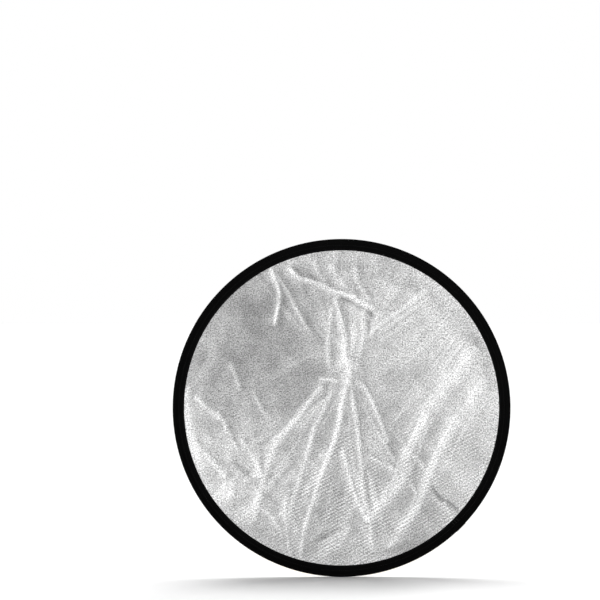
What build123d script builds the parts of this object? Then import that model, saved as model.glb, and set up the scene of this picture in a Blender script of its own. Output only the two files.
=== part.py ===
# Collapsible two-sided reflector disc: silver cloth in front, gold cloth behind, black bound rim.
#
# Millimetres. The disc stands upright in its own frame. The origin is the centre of the disc, +Y is its
# axis and points out of the gold back, -Y points out of the silver front, +Z is up and +X is right.
# Whatever crosses the fold line, the upright diameter at X = 0, is made as a left and a right part, so
# that the right half of the disc can flex forward on the left half.

from build123d import *

import os
from math import degrees

# Driving dimensions
disc_radius = 300.0  # outside of the binding
rim_width = 20.5  # how much of a face the binding covers
face_thickness = 0.25  # foil-laminated nylon
tape_thickness = 0.6  # woven polyester
layer_gap = 0.05  # between neighbouring layers of cloth
fold_gap = 0.5  # between the two halves at the fold line

strip_height = 4.0  # spring steel strip, along the disc's axis
strip_depth = 0.8  # spring steel strip, along the disc's radius
strip_end_gap = 0.6  # between the strip's two ends, inside the ferrule

ferrule_length = 36.0
ferrule_wall = 0.3
ferrule_fit = 0.05  # slip on each side of the strip
ferrule_round = 0.25
crimp_spacing = 9.0
crimp_radius = 1.1
crimp_depth = 0.12
wrap_wall = 0.15
wrap_fit = 0.02
wrap_round = 0.5
wrap_overhang = 12.0  # shrink tube past each end of the ferrule

channel_clearance = 0.2  # between the shrink tube and the tape around it
hem_width = 10.5  # stretch of the rim where tape and faces lie flat on each other
shoulder_slope = 1.5  # how far inside the strip the rim reaches its full thickness
edge_round = 1.6
hem_round = 6.0

thread_diameter = 0.4
thread_slack = 0.03  # in the groove that the thread sinks into
edge_seam_inset = 2.4  # from the rim's inner edge
channel_seam_inset = 9.0  # from the rim's inner edge

lap_length = 22.0  # where the end of the tape covers its own start
lap_thickness = 0.55
lap_angle = 135.0  # clockwise from the top, seen from the front
tack_count = 3
tack_diameter = 0.45
tack_pitch = 5.0

# Worked out from them
rim_inner_radius = disc_radius - rim_width
hem_outer_radius = rim_inner_radius + hem_width
edge_seam_radius = rim_inner_radius + edge_seam_inset
channel_seam_radius = rim_inner_radius + channel_seam_inset
face_radius = hem_outer_radius - 1.0
slit_half_height = 2 * layer_gap + face_thickness  # room for one face on each side of the middle
hem_half_height = slit_half_height + tape_thickness

ferrule_half_height = strip_height / 2 + ferrule_fit + ferrule_wall
ferrule_half_depth = strip_depth / 2 + ferrule_fit + ferrule_wall
wrap_half_height = ferrule_half_height + wrap_wall
wrap_half_depth = ferrule_half_depth + wrap_wall
rim_half_height = wrap_half_height + channel_clearance + tape_thickness
strip_radius = disc_radius - tape_thickness - channel_clearance - wrap_half_depth
shoulder_radius = strip_radius - wrap_half_depth - shoulder_slope

right_of_fold = Plane.YZ.offset(fold_gap / 2)
left_of_fold = Plane.YZ.offset(-fold_gap / 2)


def clock_plane(angle):
    """Section plane at an angle clockwise from the top, its x along the radius and its y along +Y."""
    return Plane.XY.rotated((0, angle - 90, 0))


def keep_half(side):
    """Cuts the part being built at the fold line and keeps its left or right side."""
    if side == "right":
        split(bisect_by=right_of_fold, keep=Keep.TOP)
    else:
        split(bisect_by=left_of_fold, keep=Keep.BOTTOM)


def curved_bar(middle_angle, length, half_height, half_depth, mode=Mode.ADD):
    """Adds or cuts a bar that follows the strip's circle, centred on an angle from the top."""
    sweep = degrees(length / strip_radius)
    with BuildSketch(clock_plane(middle_angle - sweep / 2)) as section:
        with Locations((strip_radius, 0)):
            Rectangle(2 * half_depth, 2 * half_height)
    revolve(section.sketch, axis=Axis.Y, revolution_arc=sweep, mode=mode)


def rim_section():
    """The rim's cross-section without its hollow: a flat hem that swells out over the strip."""
    with BuildSketch() as section:
        with BuildLine():
            Polyline(
                (rim_inner_radius, -hem_half_height),
                (hem_outer_radius, -hem_half_height),
                (shoulder_radius, -rim_half_height),
                (disc_radius, -rim_half_height),
                (disc_radius, rim_half_height),
                (shoulder_radius, rim_half_height),
                (hem_outer_radius, hem_half_height),
                (rim_inner_radius, hem_half_height),
                close=True,
            )
        make_face()
        for corner_radius, rounding in (
            (disc_radius, edge_round),
            (hem_outer_radius, hem_round),
            (shoulder_radius, edge_round),
        ):
            fillet([v for v in section.vertices() if abs(v.X - corner_radius) < 0.01], rounding)
    return section.sketch


def hollow_section():
    """The rim's hollow: the strip's channel, and the slit that holds the edges of the faces."""
    with BuildSketch() as section:
        add(rim_section())
        offset(amount=-tape_thickness, kind=Kind.ARC, mode=Mode.REPLACE)
        with Locations((rim_inner_radius - 1, 0)):
            Rectangle(hem_width + 5, 2 * slit_half_height, align=(Align.MIN, Align.CENTER))
    return section.sketch


def groove_section():
    """The four grooves in the hem that the rows of thread sink into."""
    width = thread_diameter + thread_slack
    with BuildSketch() as section:
        for seam_radius in (edge_seam_radius, channel_seam_radius):
            for facing in (-1, 1):
                with Locations((seam_radius, facing * (hem_half_height - width / 2))):
                    Rectangle(width, width)
    return section.sketch


def lap_section():
    """The extra layer of tape at the lap, which follows the outside of the rim."""
    with BuildSketch() as section:
        add(rim_section())
        offset(amount=lap_thickness, kind=Kind.ARC, mode=Mode.REPLACE)
        add(rim_section(), mode=Mode.SUBTRACT)
        with Locations((rim_inner_radius, 0)):
            Rectangle(2, 4 * hem_half_height, mode=Mode.SUBTRACT)
    return section.sketch


def binding_tape(side):
    """The woven tape round the edge. Its right half carries the lapped end."""
    with BuildPart() as tape:
        with BuildSketch(clock_plane(90)):
            add(rim_section())
            add(hollow_section(), mode=Mode.SUBTRACT)
            add(groove_section(), mode=Mode.SUBTRACT)
        revolve(axis=Axis.Y)
        if side == "right":
            sweep = degrees(lap_length / disc_radius)
            with BuildSketch(clock_plane(lap_angle - sweep / 2)):
                add(lap_section())
            revolve(axis=Axis.Y, revolution_arc=sweep)
        keep_half(side)
    tape.part.label = f"binding_tape_{side}"
    export_step(tape.part, f"parts/{tape.part.label}.step")


def face(colour, facing, side):
    """A cloth face, held between the two layers of the hem."""
    with BuildPart() as cloth:
        with BuildSketch(Plane.XZ.offset(-facing * layer_gap)):
            Circle(face_radius)
        extrude(amount=-facing * face_thickness)
        keep_half(side)
    cloth.part.label = f"{colour}_face_{side}"
    export_step(cloth.part, f"parts/{cloth.part.label}.step")


def seam(seam_name, seam_radius, place, facing, side):
    """A row of thread, flush with one side of the hem."""
    height = hem_half_height - (thread_diameter + thread_slack) / 2
    with BuildPart() as thread:
        with BuildSketch(clock_plane(90)):
            with Locations((seam_radius, facing * height)):
                Circle(thread_diameter / 2)
        revolve(axis=Axis.Y)
        keep_half(side)
    thread.part.label = f"{seam_name}_seam_{place}_{side}"
    export_step(thread.part, f"parts/{thread.part.label}.step")


def spring_strip(place, middle_angle, length, side):
    """A stretch of the spring steel strip, cut off at the fold line."""
    with BuildPart() as strip:
        curved_bar(middle_angle, length, strip_height / 2, strip_depth / 2)
        keep_half(side)
    strip.part.label = f"spring_strip_{place}"
    export_step(strip.part, f"parts/{strip.part.label}.step")


def strip_ferrule():
    """The flattened steel sleeve over both ends of the strip, dimpled by its crimps."""
    wall_radius = strip_radius - ferrule_half_depth
    with BuildPart() as ferrule:
        curved_bar(270, ferrule_length, ferrule_half_height, ferrule_half_depth)
        fillet(ferrule.edges().filter_by(GeomType.CIRCLE), ferrule_round)
        room = strip_height / 2 + ferrule_fit, strip_depth / 2 + ferrule_fit
        curved_bar(270, 2 * ferrule_length, *room, mode=Mode.SUBTRACT)
        for step in (-1.5, -0.5, 0.5, 1.5):
            angle = 270 + degrees(step * crimp_spacing / wall_radius)
            middle = clock_plane(angle).from_local_coords((wall_radius - crimp_radius + crimp_depth, 0))
            with Locations(middle):
                Sphere(crimp_radius, mode=Mode.SUBTRACT)
    ferrule.part.label = "strip_ferrule"
    export_step(ferrule.part, "parts/strip_ferrule.step")


def ferrule_wrap():
    """The shrink tube over the ferrule and the first of the strip at each end of it."""
    ferrule_room = ferrule_half_height + wrap_fit, ferrule_half_depth + wrap_fit
    strip_room = strip_height / 2 + wrap_fit, strip_depth / 2 + wrap_fit
    whole_length = ferrule_length + 2 * wrap_overhang
    with BuildPart() as wrap:
        curved_bar(270, ferrule_length + 2 * wrap_wall, wrap_half_height, wrap_half_depth)
        fillet(wrap.edges().filter_by(GeomType.CIRCLE), wrap_round)
        curved_bar(270, whole_length, strip_room[0] + wrap_wall, strip_room[1] + wrap_wall)
        curved_bar(270, ferrule_length + 2 * wrap_fit, *ferrule_room, mode=Mode.SUBTRACT)
        curved_bar(270, 2 * whole_length, *strip_room, mode=Mode.SUBTRACT)
    wrap.part.label = "ferrule_wrap"
    export_step(wrap.part, "parts/ferrule_wrap.step")


def lap_tacks():
    """Bars of thread across the lapped end of the tape, front and back, that lock it down."""
    length = hem_width - 4.5
    middle_radius = rim_inner_radius + hem_width / 2
    height = hem_half_height + lap_thickness + tack_diameter / 2
    with BuildPart() as tacks:
        for row in range(tack_count):
            steps = row - (tack_count - 1) / 2
            section = clock_plane(lap_angle + degrees(steps * tack_pitch / middle_radius))
            for facing in (-1, 1):
                middle = section.from_local_coords((middle_radius, facing * height))
                with Locations(Plane(origin=middle, z_dir=section.x_dir)):
                    Cylinder(tack_diameter / 2, length)
    tacks.part.label = "lap_tacks"
    export_step(tacks.part, "parts/lap_tacks.step")


os.makedirs("parts", exist_ok=True)

for half in ("left", "right"):
    binding_tape(half)
    face("silver", -1, half)
    face("gold", 1, half)
    for place, facing in (("front", -1), ("back", 1)):
        seam("edge", edge_seam_radius, place, facing, half)
        seam("channel", channel_seam_radius, place, facing, half)

# The strip's ends meet at 9 o'clock, so its left half is two lengths. Each runs a little past the
# fold line before it is cut there.
quarter_turn = strip_radius * 3.1416 / 2
past_fold = 5.0
half_length = quarter_turn - strip_end_gap / 2 + past_fold
off_middle = degrees((strip_end_gap / 2 + half_length / 2) / strip_radius)
spring_strip("right", 90, 2 * quarter_turn + past_fold, "right")
spring_strip("left_upper", 270 + off_middle, half_length, "left")
spring_strip("left_lower", 270 - off_middle, half_length, "left")

strip_ferrule()
ferrule_wrap()
lap_tacks()
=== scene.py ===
# Collapsible reflector disc: creased silver and gold faces in a black bound rim with a spring hoop.
# Everything is in metres, in the disc's own frame: silver faces -Y, gold faces +Y and +Z is up.

import math

import bmesh
import bpy
import numpy as np
from mathutils import Matrix, Vector, geometry, noise


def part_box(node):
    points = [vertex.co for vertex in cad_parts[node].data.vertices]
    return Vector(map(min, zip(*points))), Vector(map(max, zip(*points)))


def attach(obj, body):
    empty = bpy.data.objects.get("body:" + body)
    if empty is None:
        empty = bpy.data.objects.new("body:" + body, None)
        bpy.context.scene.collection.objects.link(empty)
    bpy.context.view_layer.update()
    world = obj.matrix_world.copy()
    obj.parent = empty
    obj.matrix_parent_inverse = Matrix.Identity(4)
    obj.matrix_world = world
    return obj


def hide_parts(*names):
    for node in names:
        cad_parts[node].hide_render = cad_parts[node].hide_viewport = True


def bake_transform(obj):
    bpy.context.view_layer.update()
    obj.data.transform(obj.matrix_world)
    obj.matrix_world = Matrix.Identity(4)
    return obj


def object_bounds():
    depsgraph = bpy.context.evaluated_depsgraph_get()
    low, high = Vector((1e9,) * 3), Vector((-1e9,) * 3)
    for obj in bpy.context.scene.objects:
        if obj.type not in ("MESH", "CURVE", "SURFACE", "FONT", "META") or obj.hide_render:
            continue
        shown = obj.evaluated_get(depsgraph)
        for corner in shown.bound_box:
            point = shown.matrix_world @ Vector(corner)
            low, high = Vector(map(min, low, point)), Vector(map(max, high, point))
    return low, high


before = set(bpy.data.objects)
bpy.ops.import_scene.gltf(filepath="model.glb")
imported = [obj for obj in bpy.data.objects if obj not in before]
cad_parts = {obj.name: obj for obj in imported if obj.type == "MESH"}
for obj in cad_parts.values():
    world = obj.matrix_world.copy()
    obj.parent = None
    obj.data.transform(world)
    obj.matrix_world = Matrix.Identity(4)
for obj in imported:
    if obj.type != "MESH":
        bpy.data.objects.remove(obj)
cadBox = [list(corner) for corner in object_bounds()]
scene = bpy.context.scene
mm = 0.001

# Sizes that the frame gives
rimRadius = -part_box("binding_tape_left")[0].x
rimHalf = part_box("binding_tape_left")[1].y
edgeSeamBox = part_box("edge_seam_front_left")
threadRadius = (edgeSeamBox[1].y - edgeSeamBox[0].y) / 2
edgeSeamRadius = edgeSeamBox[1].z - threadRadius
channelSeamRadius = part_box("channel_seam_front_left")[1].z - threadRadius
hemHalf = -edgeSeamBox[0].y
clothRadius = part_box("silver_face_left")[1].z
clothInner, clothOuter = (corner.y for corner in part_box("gold_face_left"))
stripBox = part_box("spring_strip_right")
ringMapSize = (math.tau * rimRadius, 0.05)  # what the ring's map spans, along the tape and across it
print("frame: rim radius", round(rimRadius, 4), "cloth radius", round(clothRadius, 4))


def bendAcross(piece):
    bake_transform(piece)


camera = {
    "lens": 100.0,
    "sensor": 36.0,
    "across": 1.065,  # width of the view at the disc
    "side": -0.0738,  # a little left of the disc's centre
    "up": 0.1915,  # and above it
}


def makeCamera():
    data = bpy.data.cameras.new("camera")
    data.lens = camera["lens"]
    data.sensor_width = camera["sensor"]
    data.dof.use_dof = False
    cameraObject = bpy.data.objects.new("camera", data)
    away = camera["across"] * camera["lens"] / camera["sensor"]
    cameraObject.location = (camera["side"], -away, camera["up"])
    cameraObject.rotation_euler = (math.radians(90), 0, 0)
    scene.collection.objects.link(cameraObject)
    scene.camera = cameraObject


makeCamera()
print("camera placed")


def greyTone(level):
    return (level, level, level, 1.0)


def addNode(tree, kind, values=None, links=None, **settings):
    made = tree.nodes.new(kind)
    for name, value in settings.items():
        setattr(made, name, value)
    for socket, value in (values or {}).items():
        made.inputs[socket].default_value = value
    for socket, source in (links or {}).items():
        tree.links.new(source, made.inputs[socket])
    return made


def doMath(tree, operation, first, second=None, third=None):
    made = tree.nodes.new("ShaderNodeMath")
    made.operation = operation
    for place, value in enumerate((first, second, third)):
        if isinstance(value, (int, float)):
            made.inputs[place].default_value = value
        elif value is not None:
            tree.links.new(value, made.inputs[place])
    return made.outputs[0]


def mixColour(tree, share, first, second, blendType="MIX"):
    made = tree.nodes.new("ShaderNodeMix")
    made.data_type = "RGBA"
    made.blend_type = blendType
    for socket, value in ((0, share), (6, first), (7, second)):
        if isinstance(value, (int, float, tuple)):
            made.inputs[socket].default_value = value
        else:
            tree.links.new(value, made.inputs[socket])
    return made.outputs[2]


def newGroup(name, inputs, outputs):
    tree = bpy.data.node_groups.new(name, "ShaderNodeTree")
    for label, value in inputs.items():
        kind = "NodeSocketVector" if value is None else "NodeSocketFloat"
        socket = tree.interface.new_socket(label, in_out="INPUT", socket_type=kind)
        if value is not None:
            socket.default_value = value
    for label in outputs:
        tree.interface.new_socket(label, in_out="OUTPUT", socket_type="NodeSocketFloat")
    return tree, tree.nodes.new("NodeGroupInput").outputs, tree.nodes.new("NodeGroupOutput").inputs


def useGroup(tree, group, links, **values):
    made = tree.nodes.new("ShaderNodeGroup")
    made.node_tree = group
    for label, value in values.items():
        made.inputs[label].default_value = value
    for label, source in links.items():
        tree.links.new(source, made.inputs[label])
    return made.outputs


def grainGroup():
    # Speckle over small crinkled facets: a tone about 1 for colour, and a height
    inputs = {"Vector": None, "Size": 0.003, "Contrast": 0.2}
    tree, given, result = newGroup("grain", inputs, ["Value", "Height"])
    scale = doMath(tree, "DIVIDE", 1.0, given["Size"])
    speckle = addNode(
        tree, "ShaderNodeTexNoise", {"Detail": 2.0, "Roughness": 0.6},
        {"Vector": given["Vector"], "Scale": scale},
    )
    centred = doMath(tree, "MULTIPLY_ADD", speckle.outputs["Fac"], 4.0, -2.0)
    centred = doMath(tree, "MINIMUM", doMath(tree, "MAXIMUM", centred, -0.9), 0.9)
    facets = addNode(
        tree, "ShaderNodeTexVoronoi", None,
        {"Vector": given["Vector"], "Scale": doMath(tree, "MULTIPLY", scale, 2.0)},
    )
    random = addNode(tree, "ShaderNodeSeparateColor", None, {0: facets.outputs["Color"]}).outputs[0]
    tone = doMath(tree, "MULTIPLY_ADD", random, 0.7, doMath(tree, "ADD", centred, -0.35))
    tree.links.new(doMath(tree, "MULTIPLY_ADD", tone, given["Contrast"], 1.0), result["Value"])
    dome = doMath(tree, "MULTIPLY", facets.outputs["Distance"], -0.3)
    tree.links.new(doMath(tree, "MULTIPLY_ADD", centred, 0.35, dome), result["Height"])
    return tree


def ribGroup():
    # Parallel ribs of a twill weave, turned by an angle and wandering a little
    inputs = {"Vector": None, "Pitch": 0.005, "Turn": 0.5, "Wander": 0.001}
    tree, given, result = newGroup("ribs", inputs, ["Height"])
    turned = addNode(
        tree, "ShaderNodeVectorRotate", None,
        {"Vector": given["Vector"], "Angle": given["Turn"]}, rotation_type="Z_AXIS",
    )
    drift = addNode(
        tree, "ShaderNodeTexNoise", {"Scale": 22.0, "Detail": 1.0}, {"Vector": given["Vector"]}
    )
    across = addNode(tree, "ShaderNodeSeparateXYZ", None, {0: turned.outputs[0]}).outputs[1]
    moved = doMath(tree, "MULTIPLY_ADD", drift.outputs[0], given["Wander"], across)
    turns = doMath(tree, "MULTIPLY", doMath(tree, "DIVIDE", moved, given["Pitch"]), math.tau)
    wave = doMath(tree, "MULTIPLY_ADD", doMath(tree, "SINE", turns), 0.5, 0.5)
    tree.links.new(wave, result["Height"])
    return tree


def weaveGroup():
    # Over and under threads of a plain weave
    inputs = {"Vector": None, "Across": 0.001, "Along": 0.001}
    tree, given, result = newGroup("weave", inputs, ["Height"])
    parts = addNode(tree, "ShaderNodeSeparateXYZ", None, {0: given["Vector"]}).outputs
    waves = []
    for place, label in ((0, "Across"), (1, "Along")):
        turns = doMath(tree, "MULTIPLY", doMath(tree, "DIVIDE", parts[place], given[label]), math.tau)
        waves.append(doMath(tree, "SINE", turns))
    product = doMath(tree, "MULTIPLY", waves[0], waves[1])
    tree.links.new(doMath(tree, "MULTIPLY_ADD", product, 0.5, 0.5), result["Height"])
    return tree


def patchGroup():
    # Large soft patches from 0 to 1, for wear, dust and tone
    inputs = {"Vector": None, "Size": 0.1, "Low": 0.4, "High": 0.6}
    tree, given, result = newGroup("patches", inputs, ["Mask"])
    scale = doMath(tree, "DIVIDE", 1.0, given["Size"])
    cloud = addNode(
        tree, "ShaderNodeTexNoise", {"Detail": 3.0, "Roughness": 0.55},
        {"Vector": given["Vector"], "Scale": scale},
    )
    ranged = addNode(
        tree, "ShaderNodeMapRange", None,
        {"Value": cloud.outputs[0], "From Min": given["Low"], "From Max": given["High"]},
        interpolation_type="SMOOTHSTEP",
    )
    tree.links.new(ranged.outputs[0], result["Mask"])
    return tree


grain = grainGroup()
ribs = ribGroup()
weave = weaveGroup()
patches = patchGroup()


def newMaterial(name):
    material = bpy.data.materials.new(name)
    material.use_nodes = True
    tree = material.node_tree
    return material, tree, tree.nodes["Principled BSDF"]


def setShader(shader, values):
    for label, value in values.items():
        shader.inputs[label].default_value = value


def linkBump(tree, shader, height, strength, distance):
    bump = addNode(
        tree, "ShaderNodeBump", {"Strength": strength, "Distance": distance}, {"Height": height}
    )
    tree.links.new(bump.outputs[0], shader.inputs["Normal"])


def mapped(tree, uvName, width, height):
    # The piece's own map, scaled to metres
    place = addNode(tree, "ShaderNodeUVMap", uv_map=uvName)
    scaled = addNode(
        tree, "ShaderNodeMapping", {"Scale": (width, height, 1.0)}, {"Vector": place.outputs[0]}
    )
    return scaled.outputs[0]


foils = {
    # Each foil has a plain colour, a paler one for painted highlights and a deeper one for painted
    # shade, both mixed in by the tone
    "silver": {
        "plain": greyTone(0.51),
        "paleAndPaintedHighlight": greyTone(0.82),
        "deepAndPaintedShade": greyTone(0.22),
        "fold": greyTone(0.80),  # where it is worn along a fold, with a painted highlight on the ridge
        "roughness": 0.46,
        "speckle": 0.78,
        "ribs": 0.55,
    },
    "gold": {
        "plain": (0.76, 0.545, 0.13, 1.0),
        "paleAndPaintedHighlight": (1.0, 0.93, 0.42, 1.0),
        "deepAndPaintedShade": (0.50, 0.29, 0.03, 1.0),
        # painted shade in the creases of gold's folds and crumples
        "fold": (0.42, 0.235, 0.03, 1.0),
        "roughness": 0.42,
        "speckle": 0.32,
        "ribs": 0.1,
    },
}


def foilMaterial(colour):
    look = foils[colour]
    material, tree, shader = newMaterial(colour + "Foil")
    place = mapped(tree, "clothMap", 2 * clothRadius, 2 * clothRadius)
    # Along each fold the colour changes: worn foil with a painted highlight on silver's ridges, painted
    # shade in gold's creases
    paintedLightAndWearMark = addNode(tree, "ShaderNodeAttribute", attribute_name="foldWearAndPaintedLight").outputs["Fac"]
    # The tone paints highlights and shade in broad patches, and dark lines of shade in some fold
    # valleys, over a random tone: above 0 it mixes in the paler colour, below 0 the deeper one
    foilToneAndPaintedLight = addNode(tree, "ShaderNodeAttribute", attribute_name="foilToneAndPaintedLight").outputs["Fac"]
    paintedHighlightAndPaleShare = doMath(tree, "MAXIMUM", foilToneAndPaintedLight, 0.0)
    paintedShadeAndDeepShare = doMath(tree, "MAXIMUM", doMath(tree, "MULTIPLY", foilToneAndPaintedLight, -1.0), 0.0)
    wearAndPaintedLight = mixColour(tree, paintedShadeAndDeepShare, mixColour(tree, paintedHighlightAndPaleShare, look["plain"], look["paleAndPaintedHighlight"]), look["deepAndPaintedShade"])
    wearAndPaintedLight = mixColour(tree, paintedLightAndWearMark, wearAndPaintedLight, look["fold"])
    speckle = useGroup(tree, grain, {"Vector": place}, Size=0.0024, Contrast=look["speckle"])
    cloudy = useGroup(tree, grain, {"Vector": place}, Size=0.05, Contrast=0.05)
    twill = useGroup(tree, ribs, {"Vector": place}, Pitch=0.0057, Turn=math.radians(-28), Wander=0.004)
    hatch = useGroup(tree, ribs, {"Vector": place}, Pitch=0.0043, Turn=math.radians(40), Wander=0.003)
    stretched = addNode(tree, "ShaderNodeAttribute", attribute_name="foilRibs").outputs["Fac"]
    ribTone = doMath(tree, "SUBTRACT", twill["Height"], 0.5)
    hatchTone = doMath(tree, "MULTIPLY", doMath(tree, "SUBTRACT", hatch["Height"], 0.5), 0.5)
    both = doMath(tree, "ADD", ribTone, hatchTone)
    shown = doMath(tree, "MULTIPLY", both, stretched)
    ribbed = doMath(tree, "MULTIPLY_ADD", shown, look["ribs"], 1.0)
    tone = doMath(tree, "MULTIPLY", speckle["Value"], doMath(tree, "MULTIPLY", cloudy["Value"], ribbed))
    grey = addNode(tree, "ShaderNodeCombineColor", None, {0: tone, 1: tone, 2: tone})
    tree.links.new(mixColour(tree, 1.0, wearAndPaintedLight, grey.outputs[0], "MULTIPLY"), shader.inputs["Base Color"])
    rough = doMath(tree, "MULTIPLY_ADD", paintedLightAndWearMark, 0.1, look["roughness"])
    roughSpeckle = doMath(tree, "MULTIPLY_ADD", speckle["Value"], 0.15, -0.15)
    tree.links.new(doMath(tree, "ADD", rough, roughSpeckle), shader.inputs["Roughness"])
    fine = useGroup(tree, weave, {"Vector": place}, Across=0.0009, Along=0.0009)
    height = doMath(tree, "MULTIPLY_ADD", shown, 0.6, doMath(tree, "MULTIPLY", fine["Height"], 0.3))
    height = doMath(tree, "MULTIPLY_ADD", speckle["Height"], 0.8, height)
    linkBump(tree, shader, height, 0.5, 0.0004)
    setShader(shader, {"Metallic": 0.95})
    return material


def tapeMaterial():
    material, tree, shader = newMaterial("blackTape")
    place = mapped(tree, "ringMap", *ringMapSize)
    cords = useGroup(tree, weave, {"Vector": place}, Across=0.0012, Along=0.0022)
    speckle = useGroup(tree, grain, {"Vector": place}, Size=0.002, Contrast=0.25)
    dusty = useGroup(tree, patches, {"Vector": place}, Size=0.05, Low=0.45, High=0.7)
    woven = mixColour(tree, cords["Height"], greyTone(0.0002), (0.0024, 0.0024, 0.0025, 1.0))
    dust = doMath(tree, "MULTIPLY", dusty["Mask"], 0.25)
    colour = mixColour(tree, dust, woven, (0.0035, 0.0035, 0.0036, 1.0))
    tree.links.new(colour, shader.inputs["Base Color"])
    rough = doMath(tree, "MULTIPLY_ADD", speckle["Value"], 0.08, 0.76)
    tree.links.new(rough, shader.inputs["Roughness"])
    height = doMath(tree, "MULTIPLY_ADD", speckle["Value"], 0.3, cords["Height"])
    linkBump(tree, shader, height, 1.0, 0.0004)
    setShader(shader, {"Specular IOR Level": 0.045})
    return material


def threadMaterial():
    material, tree, shader = newMaterial("blackThread")
    place = mapped(tree, "threadMap", 1.0, 1.0)
    twist = useGroup(tree, ribs, {"Vector": place}, Pitch=0.25, Turn=math.radians(35), Wander=0.05)
    colour = mixColour(tree, twist["Height"], (0.002, 0.002, 0.0022, 1.0), (0.007, 0.007, 0.0075, 1.0))
    tree.links.new(colour, shader.inputs["Base Color"])
    rough = doMath(tree, "MULTIPLY_ADD", twist["Height"], -0.1, 0.62)
    tree.links.new(rough, shader.inputs["Roughness"])
    linkBump(tree, shader, twist["Height"], 0.8, 0.0001)
    setShader(shader, {"Specular IOR Level": 0.2})
    return material


def steelMaterial(name, light, dark, roughness, onRing):
    # Rolled steel: fine lines along the strip and a little staining
    material, tree, shader = newMaterial(name)
    if onRing:
        vector = mapped(tree, "ringMap", *ringMapSize)
    else:
        vector = addNode(tree, "ShaderNodeTexCoord").outputs["Object"]
    stretched = addNode(
        tree, "ShaderNodeMapping", {"Scale": (40.0, 4000.0, 40.0)}, {"Vector": vector}
    ).outputs[0]
    lines = addNode(tree, "ShaderNodeTexNoise", {"Scale": 1.0, "Detail": 2.0}, {"Vector": stretched})
    stain = useGroup(tree, patches, {"Vector": vector}, Size=0.02, Low=0.4, High=0.7)
    tree.links.new(mixColour(tree, stain["Mask"], light, dark), shader.inputs["Base Color"])
    rough = doMath(tree, "MULTIPLY_ADD", lines.outputs[0], 0.2, roughness - 0.1)
    tree.links.new(rough, shader.inputs["Roughness"])
    linkBump(tree, shader, lines.outputs[0], 0.3, 0.00005)
    setShader(shader, {"Metallic": 1.0})
    return material


def tubeMaterial():
    material, tree, shader = newMaterial("shrinkTube")
    vector = addNode(tree, "ShaderNodeTexCoord").outputs["Object"]
    speckle = useGroup(tree, grain, {"Vector": vector}, Size=0.0008, Contrast=0.2)
    scuffs = useGroup(tree, patches, {"Vector": vector}, Size=0.006, Low=0.5, High=0.75)
    colour = mixColour(tree, scuffs["Mask"], (0.012, 0.012, 0.013, 1.0), (0.03, 0.03, 0.031, 1.0))
    tree.links.new(colour, shader.inputs["Base Color"])
    tree.links.new(doMath(tree, "MULTIPLY_ADD", speckle["Value"], 0.1, 0.4), shader.inputs["Roughness"])
    linkBump(tree, shader, speckle["Value"], 0.3, 0.0001)
    return material


foilMaterials = {colour: foilMaterial(colour) for colour in foils}
blackTape = tapeMaterial()
blackThread = threadMaterial()
springSteel = steelMaterial("springSteel", (0.34, 0.35, 0.38, 1.0), (0.2, 0.2, 0.23, 1.0), 0.34, True)
zincSteel = steelMaterial("zincSteel", (0.6, 0.6, 0.62, 1.0), (0.45, 0.45, 0.46, 1.0), 0.3, False)
shrinkTube = tubeMaterial()
print("materials made")


def newPiece(name, bm, material):
    mesh = bpy.data.meshes.new(name)
    bm.to_mesh(mesh)
    bm.free()
    mesh.materials.append(material)
    mesh.polygons.foreach_set("use_smooth", np.ones(len(mesh.polygons), dtype=bool))
    piece = bpy.data.objects.new(name, mesh)
    scene.collection.objects.link(piece)
    return piece


def vertexPlaces(mesh):
    places = np.empty(len(mesh.vertices) * 3)
    mesh.vertices.foreach_get("co", places)
    return places.reshape(-1, 3)


def spinRing(bm, geom, steps, sectors, sweep=math.tau):
    # Spins an open section through one sector, repeats the sector and welds the ring
    axis = {"cent": (0, 0, 0), "axis": (0, 1, 0)}
    bmesh.ops.spin(bm, geom=geom, angle=sweep / sectors, steps=steps // sectors, **axis)
    whole = bm.verts[:] + bm.edges[:] + bm.faces[:]
    turn = sweep * (sectors - 1) / sectors
    bmesh.ops.spin(bm, geom=whole, angle=turn, steps=sectors - 1, use_duplicate=True, **axis)
    bmesh.ops.remove_doubles(bm, verts=bm.verts[:], dist=1e-6)


def storeMap(piece, name, perVertex, wraps=False):
    mesh = piece.data
    corners = np.empty(len(mesh.loops), dtype=np.int32)
    mesh.loops.foreach_get("vertex_index", corners)
    values = perVertex[corners]
    if wraps:  # a face across the ring's start goes on past 1 instead of back to 0
        starts = np.empty(len(mesh.polygons), dtype=np.int32)
        mesh.polygons.foreach_get("loop_start", starts)
        most = np.maximum.reduceat(values[:, 0], starts)
        owner = np.repeat(np.arange(len(starts)), np.diff(np.append(starts, len(values))))
        values[(most[owner] - values[:, 0]) > 0.5, 0] += 1.0
    layer = mesh.uv_layers.get(name) or mesh.uv_layers.new(name=name)
    layer.data.foreach_set("uv", values.astype(np.float32).ravel())


# The faces. A place on a face is (right, up) as seen by someone facing it, 1 at the rim's outside.
# A fold is (width in mm, rise in mm, how strongly it is marked from 0 to 1, its route): worn with a
# painted highlight on silver's ridges, painted shade in gold's creases. It is a valley where its rise
# is below 0, and a painted dark line of shade along the valley where its mark is below 0.

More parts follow.
